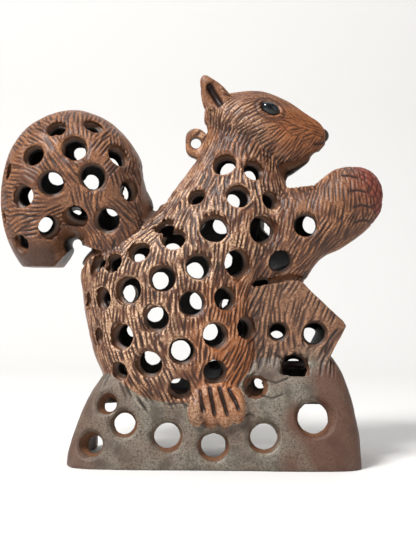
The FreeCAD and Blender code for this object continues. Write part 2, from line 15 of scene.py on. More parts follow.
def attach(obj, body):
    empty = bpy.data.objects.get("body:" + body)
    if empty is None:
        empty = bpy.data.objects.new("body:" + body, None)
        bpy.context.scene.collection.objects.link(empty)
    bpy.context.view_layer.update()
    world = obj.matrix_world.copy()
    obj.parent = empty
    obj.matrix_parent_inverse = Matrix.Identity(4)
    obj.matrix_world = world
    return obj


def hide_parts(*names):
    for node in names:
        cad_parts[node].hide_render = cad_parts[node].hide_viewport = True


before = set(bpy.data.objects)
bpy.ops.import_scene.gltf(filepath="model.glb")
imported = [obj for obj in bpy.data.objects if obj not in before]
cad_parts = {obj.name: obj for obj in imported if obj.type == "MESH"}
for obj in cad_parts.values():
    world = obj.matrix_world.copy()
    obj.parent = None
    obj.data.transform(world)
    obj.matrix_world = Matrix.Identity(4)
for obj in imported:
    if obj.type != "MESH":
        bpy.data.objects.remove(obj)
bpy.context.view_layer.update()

MM = 0.001
VOXEL = 0.68 * MM

# Pieces of clay that are luted together and painted as one.
CLAY = [
    "base_front_shell", "base_back_shell", "stump_front_shell", "stump_back_shell",
    "body_right_shell", "body_left_shell", "head", "ear_right", "ear_left",
    "arm_right", "arm_left", "tail_right_shell", "tail_left_shell",
    "foot_right", "foot_left", "hanging_lug",
]
# What a piece belongs to: the first word of its name.
REGION_OF = {name: name.split("_")[0] for name in CLAY}

# ------------------------------------------------------------------ small helpers


def smooth(low, high, value):
    """Smoothstep: 0 under low, 1 over high, an S-curve between them."""
    t = np.clip((value - low) / (high - low), 0.0, 1.0)
    return t * t * (3.0 - 2.0 * t)


def linear(hex_colour):
    """Linear RGB, as an array of three, of an sRGB hex colour."""
    channels = np.array([int(hex_colour[i:i + 2], 16) for i in (1, 3, 5)]) / 255.0
    return np.where(channels <= 0.04045, channels / 12.92, ((channels + 0.055) / 1.055) ** 2.4)


def unit(vectors):
    """Each row divided by its length."""
    return vectors / np.maximum(np.linalg.norm(vectors, axis=-1, keepdims=True), 1e-12)


def read(data, attribute, width, kind=np.float32):
    """Values of one property of a mesh collection as an array of rows."""
    values = np.empty(len(data) * width, kind)
    data.foreach_get(attribute, values)
    return values.reshape(-1, width) if width > 1 else values


def link(name, mesh):
    """New object of that mesh, in the scene."""
    piece = bpy.data.objects.new(name, mesh)
    bpy.context.collection.objects.link(piece)
    return piece


def evaluated(piece):
    """New mesh with the piece's modifiers applied."""
    graph = bpy.context.evaluated_depsgraph_get()
    return bpy.data.meshes.new_from_object(
        piece.evaluated_get(graph), preserve_all_data_layers=True, depsgraph=graph)


def add(tree, kind, inputs=None, **settings):
    """Adds a node, sets its properties, and sets or links its inputs. A linear
    colour, which comes as an array of three, becomes opaque."""
    node = tree.nodes.new(kind)
    for name, value in settings.items():
        setattr(node, name, value)
    for name, value in (inputs or {}).items():
        if isinstance(value, bpy.types.NodeSocket):
            tree.links.new(value, node.inputs[name])
        elif isinstance(value, np.ndarray):
            node.inputs[name].default_value = (*value, 1.0)
        else:
            node.inputs[name].default_value = value
    return node


def wander(points, wavelength, seed):
    """Smooth noise from -1 to 1: a sum of seven sine waves in random directions,
    each about one wavelength long."""
    rng = np.random.default_rng(seed)
    total = np.zeros(len(points))
    for _ in range(7):
        way = unit(rng.normal(size=3))
        scale = rng.uniform(0.7, 1.5)
        start = rng.uniform(0, 2 * math.pi)
        total += np.sin(points @ way * (2 * math.pi * scale / wavelength) + start)
    return np.clip(total / 3.2, -1, 1)


# ------------------------------------------------------------- luting the clay


WELD = 0.001 * MM            # points nearer than this are one point


def luted(names):
    """All the named frame pieces in one mesh, with the number of the piece that
    each face comes from, doubles merged."""
    places, corners, owners, start = [], [], [], 0
    for number, name in enumerate(names):
        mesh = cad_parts[name].data
        mesh.calc_loop_triangles()
        triangles = read(mesh.loop_triangles, "vertices", 3, np.int32)
        points = read(mesh.vertices, "co", 3)
        rounded, index = np.unique(np.round(points / WELD).astype(np.int64), axis=0,
                                   return_inverse=True)
        triangles = index.reshape(-1)[triangles]
        proper = (triangles[:, 0] != triangles[:, 1]) & (triangles[:, 1] != triangles[:, 2]) \
            & (triangles[:, 2] != triangles[:, 0])
        triangles = triangles[proper]
        places.append(rounded * WELD)
        corners.append(triangles + start)
        owners.append(np.full(len(triangles), number, np.int32))
        start += len(rounded)
    mesh = bpy.data.meshes.new("luted_clay")
    mesh.from_pydata(np.concatenate(places).tolist(), [], np.concatenate(corners).tolist())
    mesh.attributes.new("piece", "INT", "FACE").data.foreach_set("value", np.concatenate(owners))
    return link("luted_clay", mesh)


def softened(source):
    """One skin round the luted clay: a voxel remesh, then smoothing that rounds
    the lips of the holes and fills the creases as a wet sponge does."""
    source.modifiers.new("skin", "REMESH")
    source.modifiers["skin"].mode = "VOXEL"
    source.modifiers["skin"].voxel_size = VOXEL
    soften = source.modifiers.new("sponge", "SMOOTH")
    soften.factor = 0.5
    soften.iterations = 9
    skin = link("skin", evaluated(source))
    source.modifiers.clear()
    return skin


RAYS = 20
RAY_LENGTH = 100 * MM        # more than the widest hollow
RAY_LIFT = 0.6 * VOXEL       # a ray starts this far outside the skin
EVENING = 14                 # times the share is averaged with its neighbours


def surveyed(skin, source):
    """The skin's mesh with two more attributes: piece, the number of the nearest
    luted piece of each face, and hidden, the share of rays from each vertex, in
    random directions about its normal, that meet clay again."""
    tree = bpy.data.node_groups.new("survey", "GeometryNodeTree")
    tree.interface.new_socket("Geometry", in_out="INPUT", socket_type="NodeSocketGeometry")
    tree.interface.new_socket("Geometry", in_out="OUTPUT", socket_type="NodeSocketGeometry")
    entry = add(tree, "NodeGroupInput").outputs[0]
    normal = add(tree, "GeometryNodeInputNormal").outputs[0]
    position = add(tree, "GeometryNodeInputPosition").outputs[0]
    lifted = add(tree, "ShaderNodeVectorMath", {0: position}, operation="ADD")
    step = add(tree, "ShaderNodeVectorMath", {0: normal, "Scale": RAY_LIFT}, operation="SCALE")
    tree.links.new(step.outputs[0], lifted.inputs[1])
    total = None
    for ray in range(RAYS):
        scatter = add(tree, "FunctionNodeRandomValue", {"Seed": ray}, data_type="FLOAT_VECTOR")
        scatter.inputs[0].default_value = (-1, -1, -1)
        scatter.inputs[1].default_value = (1, 1, 1)
        ball = add(tree, "ShaderNodeVectorMath", {0: scatter.outputs[0]}, operation="NORMALIZE")
        way = add(tree, "ShaderNodeVectorMath", {0: ball.outputs[0], 1: normal}, operation="ADD")
        cast = add(tree, "GeometryNodeRaycast",
                   {"Target Geometry": entry, "Source Position": lifted.outputs[0],
                    "Ray Direction": way.outputs[0], "Ray Length": RAY_LENGTH})
        if total is None:
            total = cast.outputs["Is Hit"]
        else:
            total = add(tree, "ShaderNodeMath", {0: total, 1: cast.outputs["Is Hit"]},
                        operation="ADD").outputs[0]
    share = add(tree, "ShaderNodeMath", {0: total, 1: RAYS}, operation="DIVIDE").outputs[0]
    even = add(tree, "GeometryNodeBlurAttribute", {"Value": share, "Iterations": EVENING},
               data_type="FLOAT")
    first = add(tree, "GeometryNodeStoreNamedAttribute",
                {"Geometry": entry, "Name": "hidden", "Value": even.outputs[0]},
                data_type="FLOAT", domain="POINT")
    clay = add(tree, "GeometryNodeObjectInfo", {"Object": source})
    owner = add(tree, "GeometryNodeInputNamedAttribute", {"Name": "piece"}, data_type="INT")
    nearest = add(tree, "GeometryNodeSampleNearestSurface",
                  {"Mesh": clay.outputs["Geometry"], "Value": owner.outputs[0]}, data_type="INT")
    second = add(tree, "GeometryNodeStoreNamedAttribute",
                 {"Geometry": first.outputs[0], "Name": "piece", "Value": nearest.outputs[0]},
                 data_type="INT", domain="FACE")
    leave = add(tree, "NodeGroupOutput")
    tree.links.new(second.outputs[0], leave.inputs[0])
    skin.modifiers.new("survey", "NODES").node_group = tree
    mesh = evaluated(skin)
    skin.modifiers.clear()
    bpy.data.node_groups.remove(tree)
    return mesh


# ----------------------------------------------------------------- fur and bark
# The way the tool was drawn, by listed hints: X and Z in millimetres and
# the stroke's angle from +X in degrees. Between hints the angle is the nearest
# ones' mean.
FLOW = {
    "tail": [
        (-114, 155, -8), (-108, 142, -5), (-106, 125, 12), (-98, 135, 5), (-96, 168, -35),
        (-88, 180, -60), (-84, 160, -55), (-76, 190, 88), (-74, 172, -62), (-70, 150, -60),
        (-64, 180, 62), (-56, 172, 58), (-56, 188, 60), (-48, 160, 62), (-44, 148, -52),
        (-58, 142, 60), (-52, 138, -45), (-66, 132, -62), (-84, 142, 20), (-88, 126, 15),
        (-68, 118, -65), (-62, 120, -60),
    ],
    "body": [
        (-70, 100, 92), (-66, 78, 100), (-58, 60, 118), (-50, 48, 122), (-60, 112, 80),
        (-48, 118, 60), (-34, 128, 62), (-22, 140, 78), (-48, 82, 96), (-46, 100, 92),
        (-30, 90, 94), (-30, 66, 112), (-36, 46, 122), (-18, 44, 116), (-14, 78, 96),
        (-10, 96, 92), (-8, 118, 90), (-4, 138, 92), (-4, 60, 92), (4, 46, 62), (12, 58, 58),
        (20, 70, 62), (8, 80, 74), (14, 96, 78), (26, 84, 64), (22, 112, 76), (8, 124, 88),
        (30, 128, 84), (36, 108, 56), (34, 96, 52), (-8, 158, 84), (4, 150, 88), (2, 172, 70),
        (14, 152, 82), (26, 152, 76), (24, 140, 84), (38, 140, 88),
    ],
    "head": [
        (-4, 180, 84), (-2, 192, 80), (4, 178, 62), (10, 186, 40), (14, 198, 24), (20, 174, 42),
        (22, 182, 30), (20, 206, 12), (30, 200, 108), (36, 194, -58), (32, 184, 22),
        (30, 172, 52), (36, 166, 56), (40, 178, 36), (46, 188, -22), (46, 174, 38),
        (52, 182, 6), (54, 176, 30), (36, 202, -38), (46, 196, -34),
    ],
    "arm": [
        (34, 136, 86), (40, 150, 100), (48, 150, 112), (44, 138, 84), (52, 142, 86),
        (60, 152, 100), (60, 140, 82), (70, 150, 96), (70, 138, 84), (80, 146, 100),
        (52, 122, 66), (60, 126, 60), (44, 116, 62), (40, 104, 52), (50, 108, 46),
        (36, 122, 78), (34, 96, 50), (72, 128, 58),
    ],
    "stump": [
        (34, 88, 78), (46, 92, 62), (54, 84, 62), (64, 76, 56), (66, 68, 58), (58, 66, 62),
        (50, 60, 76), (42, 64, 84), (34, 74, 92), (62, 62, 56),
    ],
}
# Length, spacing, half width and depth of a stroke in millimetres, and how many
# strokes one pass of the comb-like tool leaves side by side.
COMB = {
    "tail": (12.0, 2.2, 0.55, 0.85, 4),
    "body": (11.0, 2.2, 0.58, 0.95, 4),
    "head": (10.0, 1.8, 0.46, 0.75, 4),
    "arm": (10.0, 2.0, 0.52, 0.80, 4),
    "stump": (14.0, 2.3, 0.55, 0.85, 4),
}
BURR = 0.30                  # height of the clay thrown up beside a stroke, in depths


def flow_angle(region, x, z):
    """Angle of the strokes at points x, z (mm): hints weighted by the inverse
    fourth power of their distance. Angles are doubled before averaging, since a
    stroke has no front."""
    hints = np.array(FLOW[region], float)
    away = (x[:, None] - hints[:, 0]) ** 2 + (z[:, None] - hints[:, 1]) ** 2 + 4.0
    weight = 1.0 / away ** 2
    double = np.radians(hints[:, 2]) * 2
    return np.arctan2(weight @ np.sin(double), weight @ np.cos(double)) / 2


class Cells:
    """Points sorted into cubes, so that those near a place are found at once."""

    def __init__(self, points, side):
        self.side = side
        self.low = points.min(axis=0)
        grid = np.floor((points - self.low) / side).astype(np.int64)
        self.shape = grid.max(axis=0) + 1
        key = (grid[:, 0] * self.shape[1] + grid[:, 1]) * self.shape[2] + grid[:, 2]
        self.order = np.argsort(key, kind="stable")
        self.key = key[self.order]

    def near(self, place):
        """Indices of the points in the cubes round place."""
        centre = np.floor((place - self.low) / self.side).astype(np.int64)
        found = []
        for i in range(max(centre[0] - 1, 0), min(centre[0] + 2, self.shape[0])):
            for j in range(max(centre[1] - 1, 0), min(centre[1] + 2, self.shape[1])):
                row = (i * self.shape[1] + j) * self.shape[2]
                first = row + max(centre[2] - 1, 0)
                last = row + min(centre[2] + 1, self.shape[2] - 1)
                a, b = np.searchsorted(self.key, (first, last + 1))
                found.append(self.order[a:b])
        return np.concatenate(found)


def scattered(candidates, points, apart, rng):
    """Greedy choice of candidates, in random order, no two nearer than apart."""
    order = rng.permutation(candidates)
    kept = np.empty((len(order), 3))
    chosen = []
    for index in order:
        place = points[index]
        count = len(chosen)
        if count and (((kept[:count] - place) ** 2).sum(axis=1) < apart * apart).any():
            continue
        kept[count] = place
        chosen.append(index)
    return np.array(chosen)


def score(groove, burr, cells, points, normals, centre, out, along, length, width, depth):
    """Deepens groove (metres) by one stroke: an ellipse along a direction, with
    a rounded V across it, where the surface faces the way the stroke was made.
    burr is the clay thrown up on both sides of it."""
    near = cells.near(centre)
    rel = points[near] - centre
    side = np.cross(out, along)
    u = rel @ along / (length / 2)
    v = rel @ side / width
    facing = smooth(0.2, 0.6, normals[near] @ out) * (np.abs(rel @ out) < 5 * MM)
    taper = np.clip(1.0 - u * u, 0.0, 1.0) ** 0.5
    cutting = depth * taper * np.exp(-(v / np.maximum(0.45 + 0.55 * taper, 0.2)) ** 2) * facing
    groove[near] = np.maximum(groove[near], cutting)
    thrown = BURR * depth * taper * np.exp(-((np.abs(v) - 1.9) / 0.8) ** 2) * facing
    burr[near] = np.maximum(burr[near], thrown)


CELL = 7.5 * MM              # side of the cubes in which a stroke finds its skin
CANDIDATES = 30000           # places looked at for each region
CROWDING = 0.62              # distance between combings, in their own size


def scored(points, normals, region_of_vertex, open_skin, rng):
    """Depth of the fur and bark strokes at every vertex, and height of the burr
    beside them, in metres."""
    groove, burr = np.zeros(len(points)), np.zeros(len(points))
    cells = Cells(points, CELL)
    for region, (length, spacing, width, depth, teeth) in COMB.items():
        sided = np.abs(normals[:, 1])
        usable = np.flatnonzero((region_of_vertex == region) & (open_skin > 0.5) & (sided > 0.3))
        if len(usable) > CANDIDATES:
            usable = rng.choice(usable, CANDIDATES, replace=False)
        apart = CROWDING * max(length, teeth * spacing) * MM
        places = scattered(usable, points, apart, rng)
        angles = flow_angle(region, points[places, 0] / MM, points[places, 2] / MM)
        angles += rng.normal(0, math.radians(7), len(places))
        for index, angle in zip(places, angles):
            out = normals[index]
            along = np.array([math.cos(angle), 0.0, math.sin(angle)])
            along = unit(along - out * (along @ out))
            side = np.cross(out, along)
            for tooth in range(teeth):
                shift = (tooth - (teeth - 1) / 2 + rng.normal(0, 0.12)) * spacing * MM
                slide = rng.normal(0, 1.3) * MM
                centre = points[index] + side * shift + along * slide
                score(groove, burr, cells, points, normals, centre, out, along,
                      length * rng.uniform(0.75, 1.2) * MM, width * rng.uniform(0.8, 1.2) * MM,
                      depth * rng.uniform(0.7, 1.1) * MM)
    return groove, burr


# Lines that were modelled by hand, on both sides alike: the region, half width
# and depth in millimetres (negative for a raised line), and X, Z of its points.
LINES = [
    ("foot", 0.9, 2.0, [(-3.5, 46), (-2.0, 38), (0.5, 28)]),
    ("foot", 0.9, 2.0, [(1.5, 46), (4.0, 38), (7.0, 28)]),
    ("foot", 0.9, 2.0, [(6.5, 45), (9.5, 39), (13.0, 31)]),
    ("foot", 0.8, 1.4, [(-8.5, 44), (-7.5, 38), (-5.5, 30)]),
    ("arm", 0.6, 1.0, [(66, 157), (72, 157), (78, 155)]),
    ("arm", 0.6, 1.0, [(70, 148), (76, 149), (82, 147.5)]),
    ("arm", 0.6, 1.0, [(72, 139), (78, 141), (84.5, 139.5)]),
    ("arm", 0.6, 0.9, [(73, 131), (79, 133), (85, 132)]),
    ("ear", 1.5, 2.2, [(-5.5, 208), (-3.0, 203), (0.5, 197), (4.5, 191)]),
    ("head", 0.6, 0.9, [(60.5, 177.5), (57.0, 175.5), (52.0, 175)]),
    ("head", 0.5, 0.7, [(34, 189), (40, 185), (47, 183)]),
    ("head", 0.5, 0.7, [(23, 197), (28, 199.5), (34, 197)]),
    ("head", 0.5, 0.6, [(33, 187), (38, 181), (43, 178)]),
    ("tail", 1.8, -0.9, [(-90, 181), (-80, 164), (-70, 146), (-61, 130)]),
    ("base", 0.5, 0.8, [(-30, 38), (-22, 40.5), (-14, 38), (-9, 39)]),
    ("base", 0.5, 0.8, [(-34, 44), (-25, 44), (-16, 42.5), (-10, 34), (-8, 29)]),
    ("base", 0.5, 0.7, [(-26, 34), (-18, 35.5), (-12, 33)]),
    ("base", 0.5, 0.7, [(16, 38), (22, 40), (30, 38), (38, 41)]),
    ("base", 0.5, 0.7, [(12, 27), (18, 30), (22, 28)]),
    ("base", 0.5, 0.7, [(24, 48), (32, 46), (40, 49)]),
    ("stump", 0.7, 1.1, [(30, 62), (36, 58), (44, 60), (52, 56)]),
    ("stump", 0.7, 1.0, [(58, 60), (60, 68), (66, 76)]),
]


def drawn(points, normals, region_of_vertex, groove, burr):
    """Adds the lines to groove, and the raised ones to burr: a rounded V about
    each polyline, seen along Y, that fades at its two ends."""
    flat = points[:, [0, 2]] / MM
    for region, width, depth, corners in LINES:
        line = np.array(corners, float)
        low, high = line.min(axis=0) - 4 * width, line.max(axis=0) + 4 * width
        near = np.flatnonzero((region_of_vertex == region) & (np.abs(normals[:, 1]) > 0.15)
                              & (flat > low).all(axis=1) & (flat < high).all(axis=1))
        if not len(near):
            continue
        steps = np.diff(line, axis=0)
        runs = np.linalg.norm(steps, axis=1)
        starts = np.concatenate(([0], np.cumsum(runs)[:-1]))
        rel = flat[near][:, None] - line[:-1]
        share = np.clip((rel * steps).sum(axis=2) / runs ** 2, 0, 1)
        gap = np.linalg.norm(rel - share[..., None] * steps, axis=2)
        nearest = gap.argmin(axis=1)
        row = np.arange(len(near))
        along = (starts[nearest] + share[row, nearest] * runs[nearest]) / runs.sum()
        fade = smooth(0, 0.15, along) * smooth(1, 0.8, along)
        shape = np.exp(-(gap[row, nearest] / width) ** 2) * fade * abs(depth) * MM
        target = groove if depth > 0 else burr
        target[near] = np.maximum(target[near], shape)


EYE_CENTRE = (28.4, 193.1)
EYE_HALVES = (5.3, 3.5)
EYE_TILT = math.radians(25)  # front corner lower


def lids(points, region_of_vertex):
    """Height of the lids: a ridge round each eye bead, in metres, and the depth
    of the crease outside it."""
    x, z = points[:, 0] / MM - EYE_CENTRE[0], points[:, 2] / MM - EYE_CENTRE[1]
    along = x * math.cos(EYE_TILT) - z * math.sin(EYE_TILT)
    up = x * math.sin(EYE_TILT) + z * math.cos(EYE_TILT)
    ring = np.hypot(along / EYE_HALVES[0], up / EYE_HALVES[1])
    face = (region_of_vertex == "head") & (np.abs(points[:, 1]) > 8 * MM)
    ridge = 0.7 * MM * np.exp(-((ring - 1.22) / 0.16) ** 2) * face
    crease = 0.6 * MM * np.exp(-((ring - 1.62) / 0.14) ** 2) * face
    return ridge, crease


SCALE_PITCH = (5.2, 6.4)     # nut's scales, across and up, in millimetres
NUT_EDGE = (84.0, 133.0)     # X and Z of the farthest point that the paws reach
NUT_CURVE = 0.0137           # how the paws' edge draws back above it, per mm
FINGER = (8.2, 2.2)          # width of a finger, and how far its tip stands out


def scaled(points, normals, region_of_vertex):
    """Depth of the creases between the nut's scales, on the paws' ends: two
    families of slanting lines that make diamonds."""
    x, y, z = (points / MM).T
    around = np.hypot(x - 74, y) * np.arctan2(y, x - 74)
    u, v = around / SCALE_PITCH[0], z / SCALE_PITCH[1]
    first, second = np.abs(np.sin(math.pi * (u + v))), np.abs(np.sin(math.pi * (u - v)))
    crease = np.maximum(np.exp(-(first / 0.34) ** 2), np.exp(-(second / 0.34) ** 2))
    edge = NUT_EDGE[0] - NUT_CURVE * np.maximum(z - NUT_EDGE[1], 0) ** 2
    edge = edge + FINGER[1] * np.abs(np.sin(math.pi * (z - 131.5) / FINGER[0]))
    bare = smooth(-0.4, 0.6, x - edge) * (region_of_vertex == "arm")
    crease = np.maximum(crease, 1.2 * np.exp(-((x - edge - 0.3) / 0.6) ** 2))
    return 0.8 * MM * crease * bare, bare


# -------------------------------------------------------------------- the washes
# Colours of the washes, named as a potter would.
RAW_BROWN = linear("#573320")
CREAM = linear("#eac39f")
TAN = linear("#a5734e")
ORANGE = linear("#92501f")
MAUVE = linear("#7b594b")
DARK = linear("#190c07")
UMBER = linear("#341d12")
GREY_GREEN = linear("#968c7e")
SLATE = linear("#4a443a")
RUST = linear("#4c3125")
RED_NUT = linear("#6a2f22")
CONE_BROWN = linear("#5c3d2a")
# Near black of the inside: soot, and painted shade of the dark hollow.
SOOT_AND_SHADE = linear("#0d0705")
RUST_PAINT = linear("#6a4e3f")
NUT_PAINT = linear("#8d4a36")
CONE_PAINT = linear("#8a6247")
PALE_SAND = np.array((1.35, 1.32, 1.28))     # brightens the clay round pale grit

# Patches of wash, and one of painted shade: the regions, X, Z and the two
# radii in millimetres, how soft the edge is and how uneven the patch, the
# colour, and its share in the clay and in the paint over the ridges.
PATCHES = [
    ("body arm foot", -28, 92, 44, 48, 0.45, 0.15, CREAM, 0.00, 1.00),
    ("body arm foot", 6, 132, 30, 30, 0.50, 0.00, CREAM, 0.00, 0.65),
    ("body arm foot", 10, 66, 22, 34, 0.60, 0.20, ORANGE, 0.75, 0.00),
    ("body arm foot", 10, 66, 22, 34, 0.60, 0.00, ORANGE, 0.00, 0.45),
    # Painted shade: the umber patch in the shadowed hollow between the arm, the belly and the stump.
    ("body", 32, 84, 14, 26, 0.60, 0.00, UMBER, 0.85, 0.75),
    ("head ear hanging", 8, 180, 18, 16, 0.50, 0.00, CREAM, 0.00, 0.55),
    ("head ear hanging", 48, 182, 18, 13, 0.50, 0.00, ORANGE, 0.55, 0.45),
    ("tail", -42, 152, 16, 26, 0.50, 0.00, UMBER, 0.60, 0.00),
    ("tail", -42, 152, 16, 26, 0.50, 0.00, RAW_BROWN, 0.00, 0.60),
    ("arm", 88, 154, 15, 14, 0.60, 0.00, RED_NUT, 0.75, 0.60),
]
# Shares of hidden rays between which the skin turns from open to not, from
# outside to a hole's cone, and from the cone to the inside, which is painted
# nearly black as soot and painted shade.
OPEN_SKIN = (0.30, 0.52)
CONE_SKIN = (0.34, 0.48)
SOOTY_SHADED_SKIN = (0.57, 0.68)


def towards(colours, target, share):
    """Colours mixed towards target by share, one share for each vertex."""
    return colours + (target - colours) * share[:, None]


def blob(points, x, z, across, up, fade):
    """1 inside an ellipse about x, z (mm), falling smoothly to 0 outside it."""
    distance = np.hypot((points[:, 0] / MM - x) / across, (points[:, 2] / MM - z) / up)
    return 1.0 - smooth(1.0 - fade, 1.0 + fade, distance)


def washed(points, normals, region, hidden, bare):
    """Two colours for each vertex: the wash in the clay, and the paint that is
    dry-brushed over its ridges. The holes' cones are bare brown clay, and the
    inside is painted nearly black, as soot and painted shade."""
    noise = wander(points, 22 * MM, 5)
    fine = wander(points, 7 * MM, 6)
    ground = np.tile(RAW_BROWN, (len(points), 1))
    brushed = np.tile(TAN, (len(points), 1))
    for regions, x, z, across, up, fade, uneven, colour, in_clay, over in PATCHES:
        share = np.clip(blob(points, x, z, across, up, fade) + uneven * noise, 0, 1)
        share = share * np.isin(region, regions.split())
        ground = towards(ground, colour, share * in_clay)
        brushed = towards(brushed, colour, share * over)

    # Painted shade: the head's downward-facing skin, under the jaw, is darkened towards umber.
    jaw_shade = smooth(0.1, 0.7, -normals[:, 2]) * (region == "head")
    ground = towards(ground, UMBER, jaw_shade * 0.7)
    brushed = towards(brushed, UMBER, jaw_shade * 0.7)
    brushed = towards(brushed, CREAM, 0.55 * (region == "foot"))
    x, _, z = (points / MM).T
    tip = (region == "tail") * smooth(-80, -88, x) * smooth(124, 114, z)
    ground = towards(ground, UMBER, tip * 0.9)
    brushed = towards(brushed, UMBER, tip * 0.8)
    # Painted shade: the arms' downward-facing skin is darkened towards umber.
    under = smooth(0.2, 0.8, -normals[:, 2]) * (region == "arm")
    ground = towards(ground, UMBER, under * 0.6)

    furred = np.isin(region, ("body", "arm", "foot", "head", "ear", "hanging", "tail"))
    seam = smooth(0.42, 0.18, np.abs(normals[:, 1])) * furred
    ground = towards(ground, MAUVE, seam * 0.85)
    brushed = towards(brushed, MAUVE, seam * 0.85)

    slab = (region == "base") | (region == "stump")
    right = smooth(22, 56, x - 0.25 * z + 8 * noise)
    left = smooth(-52, -78, x + 5 * noise)
    rusty = np.clip(np.maximum(right, 0.8 * left) + 0.15 + 0.3 * noise, 0, 1) * (region == "base")
    ground[slab] = SLATE
    brushed[slab] = GREY_GREEN
    ground = towards(ground, RUST, rusty)
    brushed = towards(brushed, RUST_PAINT, np.clip(rusty * 1.05, 0, 1))
    dry = smooth(44, 70, z + 4 * noise) * (region == "stump")
    ground = towards(ground, RAW_BROWN, dry * 0.8)
    brushed = towards(brushed, TAN, dry * 0.85)
    ground = towards(ground, DARK, np.clip(fine, 0, 1) * 0.12)
    ground = towards(ground, RED_NUT, bare)
    brushed = towards(brushed, NUT_PAINT, bare)
    cone = smooth(*CONE_SKIN, hidden)
    ground = towards(ground, CONE_BROWN, cone)
    brushed = towards(brushed, CONE_PAINT, cone)
    # Soot and painted shade: the deep inside, where most rays meet clay, goes nearly black.
    soot_and_shade = smooth(*SOOTY_SHADED_SKIN, hidden)
    ground = towards(ground, SOOT_AND_SHADE, soot_and_shade)
    brushed = towards(brushed, SOOT_AND_SHADE, soot_and_shade)
    return ground, brushed


# --------------------------------------------------------------------- materials


def coloured(mesh, name, colours):
    """Stores one linear colour for each vertex."""
    attribute = mesh.attributes.new(name, "FLOAT_COLOR", "POINT")
    attribute.data.foreach_set("color", np.column_stack((colours, np.ones(len(colours)))).astype(
        np.float32).ravel())


def valued(mesh, name, values):
    """Stores one number for each vertex."""
    mesh.attributes.new(name, "FLOAT", "POINT").data.foreach_set("value", values.astype(np.float32))


def material(name):
    """New material with an empty node tree, and that tree."""
    made = bpy.data.materials.new(name)
    made.use_nodes = True
    made.node_tree.nodes.clear()
    return made, made.node_tree


def stoneware(name, grain_mm, grain_share, roughness, bump):
    """Unglazed stoneware with a brushed wash: the wash is darkest in the strokes,
    worn paint shows on the ridges, and the fired body has a grain of pale and
    dark sand that breaks both. The wax polish gives a low sheen."""
    made, tree = material(name)
    place = add(tree, "ShaderNodeTexCoord").outputs["Object"]
    held = {key: add(tree, "ShaderNodeAttribute", attribute_name=key).outputs
            for key in ("ground", "brushed", "groove", "ridge")}
    grain = add(tree, "ShaderNodeTexNoise",
                {"Vector": place, "Scale": 1 / (grain_mm * MM), "Detail": 3.0,
                 "Roughness": 0.6}).outputs["Fac"]
    cloud = add(tree, "ShaderNodeTexNoise",
                {"Vector": place, "Scale": 1 / (CLOUD_MM * MM), "Detail": 2.0,
                 "Roughness": 0.5}).outputs["Fac"]
    # Where each layer shows: paint where the sand and the cloud leave it, dark
    # wash in the strokes, then pale and dark grit.
    masks = [add(tree, "ShaderNodeMapRange", {"Value": value, "From Min": low, "From Max": high},
                 interpolation_type="SMOOTHSTEP").outputs[0]
             for value, low, high in ((grain, 0.34, 0.62), (cloud, 0.25, 0.55),
                                      (held["groove"]["Fac"], 0.20, 0.95),
                                      (grain, 0.66, 0.40), (grain, 0.42, 0.28))]
    worn, patchy, stroke, pale, dark = [
        add(tree, "ShaderNodeMath", {0: mask, 1: share}, operation="MULTIPLY").outputs[0]
        for mask, share in zip(masks, (held["ridge"]["Fac"], 1.0, 0.94, grain_share, grain_share))]
    painted = add(tree, "ShaderNodeMath", {0: worn, 1: patchy}, operation="MULTIPLY").outputs[0]
    colour = held["ground"]["Color"]
    for share, paint, blend in ((painted, held["brushed"]["Color"], "MIX"), (stroke, DARK, "MIX"),
                                (pale, PALE_SAND, "MULTIPLY"), (dark, UMBER, "MIX")):
        colour = add(tree, "ShaderNodeMix", {0: share, 6: colour, 7: paint},
                     data_type="RGBA", blend_type=blend).outputs[2]
    relief = add(tree, "ShaderNodeBump", {"Strength": bump, "Distance": 0.4 * MM, "Height": grain})
    shader = add(tree, "ShaderNodeBsdfPrincipled",
                 {"Base Color": colour, "Roughness": roughness, "IOR": 1.5,
                  "Specular IOR Level": 0.42, "Normal": relief.outputs[0]})
    add(tree, "ShaderNodeOutputMaterial", {0: shader.outputs[0]})
    return made


CLOUD_MM = 9.0               # size of the worn patches in the paint
FUR_CLAY = stoneware("fur_stoneware_brushed_wash", 1.0, 0.22, 0.46, 0.35)
BARK_CLAY = stoneware("bark_stoneware_brushed_wash", 1.1, 0.30, 0.54, 0.45)
BASE_CLAY = stoneware("slab_stoneware_sandy_wash", 0.9, 0.42, 0.56, 0.50)
MATERIAL_OF = {"base": BASE_CLAY, "stump": BARK_CLAY}


def broken_colour(tree, size_mm, detail, low, high, first, second):
    """Noise of that size and detail, and the colour between first and second
    that it gives as it goes from low to high."""
    place = add(tree, "ShaderNodeTexCoord").outputs["Object"]
    cloud = add(tree, "ShaderNodeTexNoise",
                {"Vector": place, "Scale": 1 / (size_mm * MM), "Detail": detail}).outputs["Fac"]
    share = add(tree, "ShaderNodeMapRange", {"Value": cloud, "From Min": low, "From Max": high},
                interpolation_type="SMOOTHSTEP").outputs[0]
    mixed = add(tree, "ShaderNodeMix", {0: share, 6: linear(first), 7: linear(second)},
                data_type="RGBA")
    return cloud, mixed.outputs[2]


def eye_glaze():
    """Black gloss glaze: it pools thick on the bead, so it is nearly black and
    mirrors the lights, with a faint grey bloom."""
    made, tree = material("black_gloss_glaze")
    _, colour = broken_colour(tree, 2.5, 2.0, 0.4, 0.7, "#07080b", "#1b2126")
    shader = add(tree, "ShaderNodeBsdfPrincipled",
                 {"Base Color": colour, "Roughness": 0.12, "IOR": 1.45})
    add(tree, "ShaderNodeOutputMaterial", {0: shader.outputs[0]})
    return made


